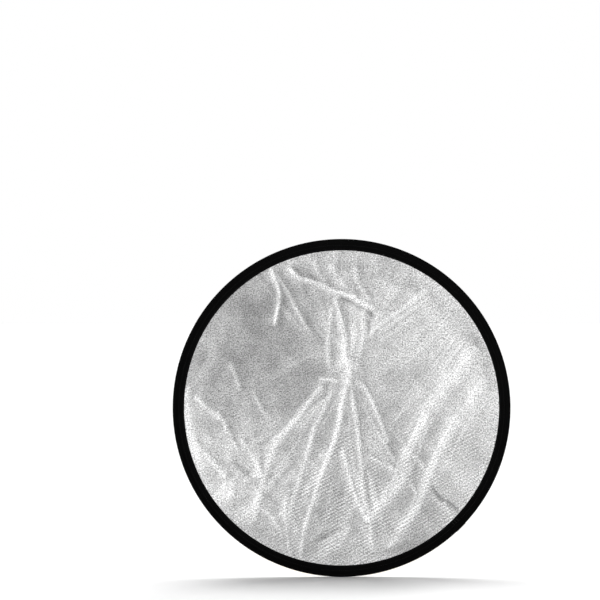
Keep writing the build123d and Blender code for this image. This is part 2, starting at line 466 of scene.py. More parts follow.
silverFolds = [
    # Long folds that run down from the knot in the middle
    (4.5, 1.5, 1.0, [
        (0.04, 0.18), (0.0, 0.03), (-0.04, -0.16), (-0.11, -0.37), (-0.18, -0.57), (-0.22, -0.76),
        (-0.24, -0.93),
    ]),
    (4.8, 1.5, 0.9, [
        (0.045, 0.17), (0.085, -0.07), (0.11, -0.25), (0.125, -0.45), (0.16, -0.66), (0.2, -0.93),
    ]),
    (4.0, 1.2, 0.9, [(0.0, -0.22), (0.04, -0.4), (0.1, -0.55), (0.155, -0.7), (0.23, -0.93)]),
    (6.5, 1.3, 0.8, [
        (-0.1, 0.15), (-0.15, 0.09), (-0.25, -0.05), (-0.33, -0.14), (-0.39, -0.22), (-0.44, -0.36),
        (-0.48, -0.5), (-0.54, -0.74),
    ]),
    (5.5, 1.0, 0.75, [
        (-0.03, 0.15), (-0.1, 0.0), (-0.155, -0.11), (-0.18, -0.2), (-0.24, -0.39), (-0.3, -0.57),
        (-0.34, -0.78),
    ]),
    (3.5, 1.0, 0.8, [(0.12, 0.16), (0.18, 0.05), (0.24, -0.09), (0.28, -0.22)]),
    (3.0, 0.9, 0.7, [(-0.14, 0.16), (-0.08, 0.165), (-0.02, 0.155)]),
    (3.0, 0.8, 0.6, [(0.08, 0.155), (0.14, 0.155)]),
    # The knot itself and the folds that leave it upwards
    (7.4, 1.6, 1.0, [(0.035, 0.13), (0.045, 0.22), (0.06, 0.31)]),
    (4.0, 1.3, 0.85, [(0.045, 0.22), (0.03, 0.33), (0.025, 0.44), (0.0, 0.56), (-0.05, 0.66)]),
    (4.5, 0.9, 0.55, [(-0.07, 0.2), (-0.076, 0.38), (-0.062, 0.5), (-0.048, 0.61)]),
    (6.5, 1.2, 0.75, [(0.08, 0.2), (0.11, 0.36), (0.13, 0.5), (0.13, 0.6)]),
    (7.0, 0.9, 0.6, [(0.06, 0.3), (0.075, 0.4), (0.07, 0.52)]),
    # Ridges across the top
    (4.6, 1.7, 0.85, [
        (-0.33, 0.86), (-0.26, 0.78), (-0.16, 0.745), (-0.054, 0.7), (0.03, 0.665), (0.12, 0.62),
        (0.225, 0.565),
    ]),
    (2.4, -0.8, -0.75, [(-0.02, 0.66), (0.07, 0.615), (0.15, 0.575), (0.2, 0.53)]),
    (2.4, -0.6, -0.6, [(0.165, 0.53), (0.16, 0.45)]),
    (4.2, 1.3, 0.85, [
        (0.16, 0.43), (0.2, 0.475), (0.29, 0.53), (0.42, 0.64), (0.53, 0.73), (0.62, 0.8),
    ]),
    (3.2, 0.9, 0.7, [(0.2, 0.44), (0.31, 0.5), (0.43, 0.6), (0.54, 0.69)]),
    (4.0, 0.8, 0.5, [(0.22, 0.4), (0.33, 0.46), (0.45, 0.57)]),
    (3.5, 1.2, 0.9, [
        (-0.43, 0.85), (-0.377, 0.72), (-0.37, 0.65), (-0.383, 0.566), (-0.395, 0.48),
    ]),
    (4.0, 0.9, 0.6, [(-0.4, 0.82), (-0.314, 0.68), (-0.25, 0.566), (-0.175, 0.44)]),
    (5.0, 1.0, 0.55, [(-0.06, 0.86), (0.0, 0.76), (0.05, 0.69), (0.1, 0.64)]),
    (4.0, 0.8, 0.5, [(0.08, 0.85), (0.11, 0.72), (0.17, 0.62)]),
    (4.5, 0.7, 0.45, [(-0.17, 0.88), (-0.12, 0.78), (-0.06, 0.7)]),
    # Two broad folds down the right
    (11.5, 2.8, 0.92, [
        (0.84, 0.42), (0.78, 0.33), (0.65, 0.18), (0.52, -0.02), (0.45, -0.15), (0.39, -0.27),
        (0.36, -0.38), (0.29, -0.5), (0.18, -0.64), (0.12, -0.72),
    ]),
    (9.8, 2.6, 0.88, [
        (0.92, 0.26), (0.88, 0.19), (0.78, 0.05), (0.67, -0.1), (0.59, -0.24), (0.52, -0.38),
        (0.46, -0.52), (0.4, -0.64), (0.32, -0.78), (0.25, -0.92),
    ]),
    (4.0, 0.9, 0.6, [(0.15, -0.28), (0.27, -0.34), (0.37, -0.4), (0.45, -0.53)]),
    (5.0, 1.2, 0.8, [(0.6, -0.55), (0.63, -0.61), (0.66, -0.68)]),
    (3.2, -1.0, -0.9, [(0.52, -0.46), (0.58, -0.525), (0.65, -0.57), (0.7, -0.61)]),
    (2.5, 0.6, 0.6, [
        (0.88, 0.36), (0.72, 0.2), (0.6, 0.03), (0.5, -0.14), (0.45, -0.28), (0.36, -0.46),
    ]),
    (2.5, 0.6, 0.6, [(0.93, 0.12), (0.8, -0.02), (0.72, -0.15), (0.62, -0.32), (0.54, -0.46)]),
    # Short ones at the lower left
    (4.0, 0.9, 0.7, [(-0.74, 0.0), (-0.7, -0.08), (-0.65, -0.18), (-0.6, -0.28)]),
    (5.0, 0.9, 0.6, [(-0.87, 0.07), (-0.79, 0.0), (-0.7, -0.08)]),
    (6.0, 1.0, 0.6, [(-0.91, -0.16), (-0.8, -0.28), (-0.66, -0.44)]),
    (5.0, 0.9, 0.65, [(-0.6, -0.18), (-0.54, -0.26), (-0.48, -0.36), (-0.44, -0.42)]),
    (10.5, 1.3, 0.75, [(-0.66, -0.5), (-0.62, -0.51)]),
    (5.0, 1.0, 0.6, [(-0.5, -0.57), (-0.42, -0.63), (-0.37, -0.72), (-0.35, -0.8)]),
    (4.0, 0.9, 0.6, [(-0.31, -0.45), (-0.335, -0.63), (-0.295, -0.9)]),
    (4.5, 0.8, 0.5, [(0.05, -0.68), (0.0, -0.78), (-0.03, -0.88)]),
    (4.0, -0.7, -0.5, [(-0.16, -0.79), (-0.07, -0.745), (0.0, -0.7)]),
    (4.0, 0.6, 0.45, [(-0.52, 0.11), (-0.47, 0.0), (-0.41, -0.08)]),
    (4.0, 0.6, 0.4, [(-0.67, 0.28), (-0.63, 0.18), (-0.6, 0.1)]),
    (9.0, 0.9, 0.6, [(-0.93, 0.14), (-0.92, -0.02), (-0.89, -0.2), (-0.82, -0.4)]),
]

goldFolds = [
    # Long parallel folds down the left, in pairs
    (3.6, -1.3, 0.9, [(-0.68, 0.54), (-0.75, 0.36), (-0.83, 0.2), (-0.92, 0.03)]),
    (2.8, -0.8, 0.55, [(-0.66, 0.53), (-0.76, 0.415), (-0.86, 0.205), (-0.905, 0.11)]),
    (4.0, -1.5, 0.9, [
        (-0.22, 0.9), (-0.316, 0.708), (-0.427, 0.527), (-0.54, 0.317), (-0.65, 0.135),
        (-0.735, -0.004), (-0.78, -0.11),
    ]),
    (3.8, -1.3, 0.8, [
        (-0.25, 0.57), (-0.33, 0.36), (-0.37, 0.22), (-0.427, 0.05), (-0.5, -0.14), (-0.535, -0.26),
    ]),
    (4.5, -1.0, 0.6, [
        (-0.17, 0.58), (-0.2, 0.51), (-0.26, 0.33), (-0.316, 0.163), (-0.37, -0.004),
    ]),
    (4.0, -0.8, 0.55, [(-0.35, 0.7), (-0.27, 0.79), (-0.19, 0.88)]),
    (4.0, -0.8, 0.5, [(-0.13, 0.9), (-0.16, 0.78), (-0.22, 0.66)]),
    (4.0, -0.7, 0.5, [(-0.015, 0.91), (-0.05, 0.78), (-0.12, 0.65)]),
    (3.6, -1.0, 0.7, [(-0.76, 0.315), (-0.65, 0.305), (-0.55, 0.335)]),
    (3.2, -1.1, 0.75, [(-0.67, -0.01), (-0.623, -0.116), (-0.56, -0.27)]),
    # At the top
    (3.2, -1.2, 0.8, [(0.06, 0.79), (0.12, 0.75), (0.17, 0.735), (0.26, 0.69)]),
    (3.6, -0.8, 0.5, [(0.0, 0.66), (0.1, 0.595), (0.18, 0.55)]),
    (2.6, -1.0, 0.8, [(0.17, 0.57), (0.17, 0.47)]),
    (4.0, -0.7, 0.45, [(0.33, 0.72), (0.37, 0.66), (0.39, 0.58)]),
    # Where the smooth part meets the crumpled one
    (3.0, -1.0, 0.75, [(-0.93, -0.08), (-0.846, -0.158), (-0.875, -0.24)]),
    (3.0, -0.9, 0.7, [(-0.85, -0.144), (-0.735, -0.04), (-0.68, 0.03)]),
    (3.0, -0.9, 0.7, [(-0.75, -0.04), (-0.765, -0.2), (-0.785, -0.36)]),
    (4.0, -0.9, 0.6, [(-0.82, -0.21), (-0.65, -0.27), (-0.43, -0.26), (-0.26, -0.2)]),
    (4.0, -1.0, 0.6, [(-0.4, -0.33), (-0.47, -0.46), (-0.52, -0.62)]),
    (4.0, -0.8, 0.55, [(-0.3, -0.3), (-0.4, -0.5), (-0.45, -0.66)]),
    # On the other side: long folds that go on round
    (4.0, -1.2, 0.7, [(0.2, 0.35), (0.12, 0.1), (0.02, -0.16), (-0.06, -0.42), (-0.1, -0.7)]),
    (4.5, -1.1, 0.65, [
        (0.55, 0.66), (0.43, 0.35), (0.34, 0.08), (0.22, -0.22), (0.14, -0.52), (0.1, -0.9),
    ]),
    (3.6, -1.0, 0.6, [(0.85, 0.32), (0.7, 0.05), (0.56, -0.2), (0.46, -0.47), (0.4, -0.82)]),
    (4.0, -0.8, 0.5, [(0.6, 0.2), (0.4, 0.16), (0.22, 0.22)]),
    (3.6, -0.9, 0.6, [(0.9, -0.05), (0.76, -0.22), (0.62, -0.48), (0.55, -0.74)]),
    (3.4, -0.8, 0.5, [(0.3, -0.1), (0.46, -0.18), (0.64, -0.16)]),
]

faces = {
    "silver": {
        "side": -1.0,
        "seed": 31,
        "folds": silverFolds,
        "press": 1.22,  # how much stronger the folds are than listed
        "spread": 1.25,  # and how much wider
        "swell": 1.3,  # broad undulation, mm
        "wrinkles": [(45, 0.45), (16, 0.16), (7, 0.06)],  # size and rise, mm
        # A gathered place, the first and last direction of its streaks in degrees, their pitch, rise in
        # mm and wear, with a painted highlight along the streaks
        "fans": [
            ((0.04, 0.17), 205, 325, 6.0, 0.4, 0.6),
            ((0.04, 0.17), 45, 145, 8.0, 0.3, 0.45),
            ((-0.42, 0.86), 285, 330, 6.0, 0.25, 0.35),
            ((1.3, 1.2), 205, 245, 2.4, 0.45, 0.55),
        ],
        # Crumpled places: place, reach and strength
        "crumple": [(-0.65, -0.42, 0.42, 0.9), (-0.2, -0.75, 0.4, 0.6), (0.1, 0.8, 0.35, 0.5)],
        "crumpleSize": 0.045,
        # how strongly the crumpled facets' edges are marked: worn, with a painted highlight on the
        # ridges
        "crumpleWearAndPaintedLight": 0.5,
        # Painted highlights and painted shade on the foil: place, reach and change
        "tone": [
            (-0.45, 0.42, 0.38, -0.6), (-0.57, 0.68, 0.2, -0.34), (-0.33, 0.7, 0.12, -0.2),
            (0.85, 0.3, 0.35, 0.34), (-0.85, -0.35, 0.25, 0.2), (-0.2, 0.02, 0.22, -0.4),
            (-0.25, -0.4, 0.3, -0.12), (0.85, -0.2, 0.3, 0.3),
            (0.25, -0.1, 0.25, -0.22), (0.4, -0.68, 0.2, -0.32), (-0.8, 0.15, 0.28, -0.36),
            (0.02, 0.2, 0.1, 0.2), (0.03, 0.45, 0.16, 0.1), (-0.64, -0.51, 0.09, 0.25),
            (0.05, -0.95, 0.25, 0.3), (0.45, -0.25, 0.2, -0.15), (0.6, 0.65, 0.25, 0.5),
            (0.38, -0.36, 0.14, -0.3),
            (0.18, -0.9, 0.13, 0.45), (0.9, 0.12, 0.2, 0.3), (0.76, -0.52, 0.14, 0.35),
            (-0.03, -0.62, 0.14, -0.3),
        ],
        "clouds": [(30, 0.2), (12, 0.13)],  # random tone: size in mm and strength
        # Where the foil is drawn onto its cloth, so that the ribs of the weave show
        "taut": [
            (0.05, -0.6, 0.5, 1.0), (0.55, -0.45, 0.4, 0.8), (-0.4, -0.55, 0.35, 0.5),
            (-0.55, 0.15, 0.5, 0.28), (0.5, 0.4, 0.4, 0.12),
        ],
    },
    "gold": {
        "side": 1.0,
        "seed": 87,
        "folds": goldFolds,
        "press": 1.2,
        "spread": 1.0,
        "swell": 1.3,
        "wrinkles": [(45, 0.45), (16, 0.16), (7, 0.06)],
        "fans": [
            ((-0.1, 1.5), 215, 262, 2.4, 0.4, 0.4),
            ((0.5, 1.1), 235, 300, 5.0, 0.3, 0.35),
        ],
        "crumple": [
            (-0.45, -0.62, 0.5, 1.1), (-0.8, -0.22, 0.3, 0.7), (0.3, -0.7, 0.45, 0.7),
            (0.6, 0.5, 0.4, 0.3),
        ],
        "crumpleSize": 0.029,
        # painted shade in the crumpled creases
        "crumpleWearAndPaintedLight": 1.0,
        # Painted highlights and painted shade on the foil: place, reach and change
        "tone": [
            (-0.86, 0.42, 0.12, 0.9), (-0.84, 0.3, 0.1, 0.5), (-0.74, 0.2, 0.14, 1.0),
            (-0.63, 0.47, 0.14, 0.7), (-0.6, 0.02, 0.14, 0.6), (-0.86, -0.02, 0.08, 0.4),
            (0.1, 0.84, 0.16, 0.9), (0.26, 0.86, 0.14, 0.8), (0.02, 0.73, 0.14, 0.6),
            (0.2, 0.7, 0.14, 0.5), (-0.35, 0.2, 0.1, 0.25), (-0.5, 0.73, 0.16, -0.4),
            (-0.13, 0.4, 0.26, -0.55), (-0.24, 0.12, 0.18, -0.6), (0.62, 0.62, 0.2, -0.5),
            (-0.42, -0.35, 0.22, -0.45), (-0.55, -0.7, 0.34, -0.7), (0.5, -0.1, 0.25, 0.5),
            (0.2, -0.35, 0.25, -0.4), (0.75, 0.2, 0.2, 0.5), (0.3, -0.75, 0.2, 0.4),
            (0.25, 0.3, 0.25, 0.3), (-0.05, -0.6, 0.2, 0.3), (0.7, -0.45, 0.2, -0.4),
        ],
        "clouds": [(38, 0.3), (14, 0.2)],
        "taut": [(-0.5, -0.6, 0.5, 0.5), (0.4, 0.2, 0.6, 0.3)],
    },
}

creasing = {
    "warpSize": 0.07,  # what lets straight patterns wander
    "warp": 0.004,
    "swellSize": 0.13,
    "unevenSize": 0.028,  # along a fold its strength changes
    "brokenSize": 0.009,
    "fanClear": 0.16,  # no streaks this near to a gathered place
    "fanSides": 14,  # degrees over which a fan of streaks dies away at its sides
    "ends": 0.09,  # share of a fold over which it dies away at each end
    "broad": 12,  # mm: a fold wider than this carries a few sharp creases of its own
    "ripple": 0.22,  # their rise, as a share of the fold's
    "crumpleRise": 1.4,  # mm
    "slant": 0.006,  # how far the crumpled facets are drawn out of shape
    "slantGrowth": 40,  # and how much more from left to right, per metre
    "tautSize": 0.05,  # patches within a taut place where the ribs fade
}

cloth = {
    "cells": 208,
    "stand": 0.0024,  # how far the middle of a face stands off from where it is sewn
    "standRun": 0.045,  # the stretch beside the rim where that dies away
    "edgeRun": 0.02,  # and where the folds do
    "lip": 0.2792,  # where the face goes under the tape
}


def smoothStep(value):
    value = np.clip(value, 0.0, 1.0)
    return value * value * (3 - 2 * value)


def smoothRoute(route, steps=10):
    # Catmull-Rom through the route's points
    points = [np.array(p) for p in route]
    points = [2 * points[0] - points[1], *points, 2 * points[-1] - points[-2]]
    smooth = []
    for a, b, c, d in zip(points, points[1:], points[2:], points[3:]):
        for t in np.linspace(0, 1, steps, endpoint=False):
            square, cube = 2 * a - 5 * b + 4 * c - d, 3 * b - a - 3 * c + d
            smooth.append(0.5 * (2 * b + (c - a) * t + square * t**2 + cube * t**3))
    smooth.append(points[-2])
    return np.array(smooth)


def noiseAt(places, size, seed):
    # Smooth gradient noise, roughly from -1 to 1
    turns = np.random.RandomState(seed).uniform(0, math.tau, (64, 64))
    at = places / size + 32.5
    cell = np.floor(at).astype(int)
    inside = at - cell
    fade = inside**3 * (inside * (inside * 6 - 15) + 10)
    total = np.zeros(len(places))
    for i in (0, 1):
        for j in (0, 1):
            turn = turns[(cell[:, 0] + i) % 64, (cell[:, 1] + j) % 64]
            slope = np.cos(turn) * (inside[:, 0] - i) + np.sin(turn) * (inside[:, 1] - j)
            total += slope * np.abs(1 - i - fade[:, 0]) * np.abs(1 - j - fade[:, 1])
    return 1.5 * total


def facetEdges(places, size, seed):
    # Distance from the borders between random facets, 0 on a border
    jitter = np.random.RandomState(seed).uniform(0.1, 0.9, (64, 64, 2))
    at = places / size + 32.5
    cell = np.floor(at).astype(int)
    distances = []
    for i in (-1, 0, 1):
        for j in (-1, 0, 1):
            near = cell + (i, j)
            centre = near + jitter[near[:, 0] % 64, near[:, 1] % 64]
            distances.append(np.linalg.norm(at - centre, axis=1))
    distances = np.sort(distances, axis=0)
    return distances[1] - distances[0]


def foldDistance(places, route):
    # Distance from each place to the route, and how far along it the nearest point is
    nearest = np.full(len(places), 1e9)
    along = np.zeros(len(places))
    count = len(route) - 1
    for i in range(count):
        a, step = route[i], route[i + 1] - route[i]
        t = np.clip(((places - a) @ step) / (step @ step), 0, 1)
        away = np.linalg.norm(places - a - t[:, None] * step, axis=1)
        closer = away < nearest
        nearest[closer] = away[closer]
        along[closer] = (i + t[closer]) / count
    return nearest, along


def faceRelief(face, places):
    # At places (right, up) in metres: height off the rest plane in metres, wear with painted light
    # along the folds from 0 to 1, tone from -1 to 1 that paints highlights and shade over a random
    # tone, and how far the ribs show
    seed = face["seed"]
    warpX, warpZ = (noiseAt(places, creasing["warpSize"], seed + step) for step in (0, 5))
    warped = places + creasing["warp"] * np.stack([warpX, warpZ], axis=1)
    height = face["swell"] * mm * noiseAt(places, creasing["swellSize"], seed + 2)
    for size, rise in face["wrinkles"]:
        height += rise * mm * noiseAt(warped, size * mm, seed + int(size))
    paintedLightAndWearMark = np.zeros(len(places))
    tone = np.zeros(len(places))
    uneven = 0.5 + 0.5 * noiseAt(places, creasing["unevenSize"], seed + 11)
    broken = 0.5 + 0.5 * noiseAt(places, creasing["brokenSize"], seed + 12)
    for (right, up), start, end, pitch, rise, wearAndPaintedLight in face["fans"]:
        # fine streaks that run out from a gathered place
        offset = warped / rimRadius - (right, up)
        reach = np.linalg.norm(offset, axis=1)
        turn = np.degrees(np.arctan2(offset[:, 1], offset[:, 0])) % 360
        streak = noiseAt(np.stack([turn / pitch, reach * 1.6], axis=1), 1.0, seed + 21)
        fine = noiseAt(np.stack([turn / pitch * 2.3, reach * 2.6], axis=1), 1.0, seed + 22)
        sides = creasing["fanSides"]
        inside = smoothStep((turn - start) / sides) * smoothStep((end - turn) / sides)
        inside *= smoothStep(reach / creasing["fanClear"])
        height += rise * mm * inside * (streak + 0.5 * fine)
        # Along the streaks: worn foil with a painted highlight on silver, painted shade on gold
        paintedLightAndWearMark = np.maximum(paintedLightAndWearMark, wearAndPaintedLight * inside * smoothStep((streak + 0.6 * fine - 0.1) / 0.9))
    for width, rise, wearAndPaintedLight, route in face["folds"]:
        width, rise, wearAndPaintedLight = width * face["spread"] * mm, rise * face["press"], wearAndPaintedLight * face["press"]
        path = smoothRoute(route) * rimRadius
        near = np.all((warped > path.min(0) - 5 * width) & (warped < path.max(0) + 5 * width), axis=1)
        away, along = foldDistance(warped[near], path)
        ends = smoothStep(np.minimum(along, 1 - along) / creasing["ends"])
        vary = 0.6 + 0.6 * uneven[near] + 0.25 * broken[near]
        crest = np.exp(0.4 - np.sqrt((away / width) ** 2 + 0.16)) * ends * vary
        height[near] += rise * mm * crest
        if width > creasing["broad"] * mm:
            ripple = noiseAt(np.stack([away / (0.3 * width), along * 3], axis=1), 1.0, seed + 23)
            height[near] += creasing["ripple"] * rise * mm * crest * ripple
        trace = wearAndPaintedLight * np.exp(-((away / (0.7 * width)) ** 2)) * ends
        # Below 0 a fold paints a dark line of shade along its valley into the tone; above 0 it marks
        # the fold, worn with a painted highlight on silver's ridges and painted shade in gold's creases
        if wearAndPaintedLight < 0:
            tone[near] += trace
        else:
            paintedLightAndWearMark[near] = np.maximum(paintedLightAndWearMark[near], trace * (0.6 + 0.45 * uneven[near]))
    drift = np.stack([warpZ, warpX + warped[:, 0] * creasing["slantGrowth"]], axis=1)
    slanted = warped + creasing["slant"] * drift
    crease = np.clip(facetEdges(slanted, face["crumpleSize"], seed) / 0.5, 0, 1)
    for right, up, reach, share in face["crumple"]:
        away = np.linalg.norm(places / rimRadius - (right, up), axis=1) / reach
        inside = share * np.exp(-(away**2))
        height += face["side"] * inside * creasing["crumpleRise"] * mm * (crease - 0.5)
        # Along the facets' borders: worn with a painted highlight on silver's ridges, painted shade in
        # gold's crumpled creases
        edges = (1 - smoothStep(crease / 0.3)) * uneven
        paintedLightAndWearMark = np.maximum(paintedLightAndWearMark, face["crumpleWearAndPaintedLight"] * inside / max(share, 0.6) * edges)
    # Broad patches of painted highlight and painted shade
    for right, up, reach, change in face["tone"]:
        away = np.linalg.norm(warped / rimRadius - (right, up), axis=1) / reach
        tone += change * np.exp(-(away**2))
    for size, change in face["clouds"]:
        tone += change * noiseAt(warped, size * mm, seed + 40 + int(size))
    taut = np.zeros(len(places))
    for right, up, reach, share in face["taut"]:
        away = np.linalg.norm(warped / rimRadius - (right, up), axis=1) / reach
        taut = np.maximum(taut, share * np.exp(-(away**4)))
    patchy = noiseAt(warped, creasing["tautSize"], seed + 31)
    taut *= 0.35 + 0.65 * smoothStep(0.5 + 1.2 * patchy)
    return height, np.clip(paintedLightAndWearMark, 0, 1), np.clip(tone, -1, 1), taut


def clothFace(colour):
    face = faces[colour]
    side = face["side"]
    bm = bmesh.new()
    bmesh.ops.create_grid(bm, x_segments=cloth["cells"], y_segments=cloth["cells"], size=1.0)
    for v in bm.verts:  # the square grid becomes a disc
        across, up = v.co.x, v.co.y
        right = across * math.sqrt(1 - up * up / 2) * clothRadius
        v.co = (-side * right, 0, up * math.sqrt(1 - across * across / 2) * clothRadius)
    places = np.array([(-side * v.co.x, v.co.z) for v in bm.verts])
    height = faceRelief(face, places)[0]
    fromLip = cloth["lip"] - np.linalg.norm(places, axis=1)
    base = cloth["stand"] * smoothStep(fromLip / cloth["standRun"])
    stand = clothOuter + np.maximum(base + height * smoothStep(fromLip / cloth["edgeRun"]), 0)
    for v, y in zip(bm.verts, stand):
        v.co.y = side * y
    bm.normal_update()
    bmesh.ops.solidify(bm, geom=bm.faces[:], thickness=clothOuter - clothInner)
    piece = newPiece(colour + "_cloth", bm, foilMaterials[colour])
    flat = vertexPlaces(piece.data)
    seen = np.stack([-side * flat[:, 0], flat[:, 2]], axis=1)
    storeMap(piece, "clothMap", seen / (2 * clothRadius) + 0.5)
    for name, values in zip(("foldWearAndPaintedLight", "foilToneAndPaintedLight", "foilRibs"), faceRelief(face, seen)[1:]):
        layer = piece.data.attributes.new(name, "FLOAT", "POINT")
        layer.data.foreach_set("value", values.astype(np.float32))
    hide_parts(colour + "_face_left", colour + "_face_right")
    bendAcross(piece)
    print(colour, "cloth:", len(piece.data.polygons), "faces")
    return piece


# The binding tape: folded over the hoop, flat over the cloth and gathered at its inner edge

tape = {
    "inner": 0.2795,
    "thickness": 0.0006,
    "lip": ((0.0, 0.0004), (0.0003, 0.0001)),  # steps out and down at the turned-in inner edge
    "hemSteps": (0.9, 1.8, 2.4, 3.0, 4.2, 5.6, 7.0, 8.4, 9.0, 9.6),  # mm from the inner edge
    "shoulder": 0.0094,  # how far in from the outside the hem starts to rise over the hoop
    "riseHandles": (0.0066, 0.0068),
    "crown": 0.0034,  # how far in it is at its full height
    "edgeHandles": (0.0011, 0.62),  # the first in metres, the second a share of the height
    "steps": 720,
    "sectors": 30,
    "pucker": 0.00016,  # how far the gathers rise
    "puckerReach": 0.0095,  # how far out from the inner edge they run
    "puckerLength": 0.013,
}


def bezier(start, startHandle, endHandle, end, count):
    points = geometry.interpolate_bezier(
        *[Vector((*p, 0)) for p in (start, startHandle, endHandle, end)], count
    )
    return [(p.x, p.y) for p in points]


def tapeProfile():
    # (radius, height) of the front half, from the inner edge to the outermost point
    inner, hem, half, outer = tape["inner"], hemHalf, rimHalf, rimRadius
    profile = [(inner + out, hem - down) for out, down in tape["lip"]]
    profile += [(inner + step * mm, hem) for step in tape["hemSteps"]]
    shoulder, crown = (outer - tape["shoulder"], hem), (outer - tape["crown"], half)
    low, high = tape["riseHandles"]
    profile += bezier(shoulder, (outer - low, hem), (outer - high, half), crown, 9)
    near, down = tape["edgeHandles"]
    profile += bezier(crown, (outer - near, half), (outer, half * down), (outer, 0), 8)[1:]
    return profile


def ringPlaces(piece):
    # How far round the ring a vertex is, and how far across the tape, both from 0 to 1
    at = vertexPlaces(piece.data)
    along = (np.arctan2(at[:, 0], at[:, 2]) / math.tau) % 1.0
    radius = np.hypot(at[:, 0], at[:, 2])
    across = np.sign(at[:, 1]) * (rimRadius - radius) + at[:, 1]
    return np.stack([along, across / ringMapSize[1] + 0.5], axis=1)


def bindingTape():
    bm = bmesh.new()
    front = tapeProfile()
    section = [(r, -y) for r, y in front] + [(r, y) for r, y in reversed(front[:-1])]
    verts = [bm.verts.new((0, y, r)) for r, y in section]
    edges = [bm.edges.new(pair) for pair in zip(verts, verts[1:])]
    spinRing(bm, verts + edges, tape["steps"], tape["sectors"])
    for v in bm.verts:  # gathers: the flat tape has to shorten towards its inner edge
        radius = math.hypot(v.co.x, v.co.z)
        loose = max(0.0, min(1.0, (tape["inner"] + tape["puckerReach"] - radius) / tape["puckerReach"]))
        turn = math.atan2(v.co.x, v.co.z) * rimRadius / tape["puckerLength"]
        gather = noise.noise((turn, 0.9 * loose, v.co.y * 90))
        v.co.y += math.copysign(tape["pucker"] * loose * (0.35 + gather), v.co.y)
    bmesh.ops.recalc_face_normals(bm, faces=bm.faces[:])
    bmesh.ops.solidify(bm, geom=bm.faces[:], thickness=tape["thickness"])
    piece = newPiece("binding_tape", bm, blackTape)
    storeMap(piece, "ringMap", ringPlaces(piece), wraps=True)
    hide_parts("binding_tape_left", "binding_tape_right")
    bendAcross(piece)
    print("binding tape:", len(piece.data.polygons), "faces")
    return piece


lap = {
    "angle": 135.0,  # degrees clockwise from the top, seen from the front
    "length": 0.022,
    "thickness": 0.0005,
    "steps": 10,
    "inset": 0.001,  # it stops short of the tape's inner edge
}
lapRise = lap["thickness"] + 0.6 * tape["pucker"]


def tapeLap():
    # The folded-under end of the tape, over its own start
    bm = bmesh.new()
    front = [(r, y) for r, y in tapeProfile() if r > tape["inner"] + lap["inset"]]
    section = [(r, -y) for r, y in front] + [(r, y) for r, y in reversed(front[:-1])]
    verts = [bm.verts.new((0, y, r)) for r, y in section]
    edges = [bm.edges.new(pair) for pair in zip(verts, verts[1:])]
    sweep = lap["length"] / rimRadius
    bmesh.ops.spin(
        bm, geom=verts + edges, cent=(0, 0, 0), axis=(0, 1, 0), angle=sweep, steps=lap["steps"]
    )
    middle = Matrix.Rotation(math.radians(lap["angle"]) - sweep / 2, 4, "Y")
    bmesh.ops.transform(bm, matrix=middle, verts=bm.verts[:])
    bmesh.ops.recalc_face_normals(bm, faces=bm.faces[:])
    bm.normal_update()
    for v in bm.verts:
        v.co += v.normal * lapRise
    bmesh.ops.solidify(bm, geom=bm.faces[:], thickness=lap["thickness"])
    piece = newPiece("tape_lap", bm, blackTape)
    storeMap(piece, "ringMap", ringPlaces(piece), wraps=True)
    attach(piece, "right_half")
    print("tape lap:", len(piece.data.polygons), "faces")


# Stitches

stitch = {
    "sectors": 23,
    "perSector": 22,
    "length": 0.0029,
    "lift": 0.00004,  # of the thread's middle off the hem
    "slant": 7.0,  # degrees off the line of the seam
    "blunt": 0.75,  # lower is blunter at the ends
}


def addStitch(bm, length, radius):
    # One visible thread float, along X and centred at the origin
    made = bmesh.ops.create_uvsphere(bm, u_segments=6, v_segments=6, radius=1.0, calc_uvs=True)["verts"]
    lying = Matrix.Rotation(math.radians(90), 4, "Y")
    bmesh.ops.transform(bm, matrix=lying, verts=made)
    for v in made:
        v.co.x = math.copysign(abs(v.co.x) ** stitch["blunt"], v.co.x) * length / 2
        v.co.y *= radius
        v.co.z *= radius
    return made


def seamRow(name, seamRadius, side):
    bm = bmesh.new()
    bm.loops.layers.uv.new("threadMap")
    made = addStitch(bm, stitch["length"], threadRadius)
    slanted = Matrix.Rotation(math.radians(stitch["slant"]), 4, "Y")
    raised = Matrix.Translation((0, side * (hemHalf + stitch["lift"]), seamRadius))
    bmesh.ops.transform(bm, matrix=raised @ slanted, verts=made)
    sweep = math.tau / stitch["sectors"]
    for repeats, turn in ((stitch["perSector"], sweep), (stitch["sectors"], math.tau)):
        bmesh.ops.spin(
            bm, geom=bm.verts[:] + bm.edges[:] + bm.faces[:], cent=(0, 0, 0), axis=(0, 1, 0),
            angle=turn * (repeats - 1) / repeats, steps=repeats - 1, use_duplicate=True,
        )
    for v in bm.verts:  # they pass over the lapped end of the tape
        turn = math.degrees(math.atan2(v.co.x, v.co.z))
        if abs(turn - lap["angle"]) < math.degrees(lap["length"] / 2 / rimRadius):
            v.co.y += side * lapRise
    piece = newPiece(name + "_stitches", bm, blackThread)
    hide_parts(name + "_left", name + "_right")
    bendAcross(piece)
    print(name, "stitches:", stitch["perSector"] * stitch["sectors"])


tack = {
    "rows": 3,
    "pitch": 0.005,
    "length": 0.006,
    "wide": 0.0017,
    "threads": 11,
    "threadRadius": 0.00024,
    "middle": 0.00525,  # from the tape's inner edge
    "lift": 0.00012,
    "tilt": 14,  # degrees, one way and the other by turns
}


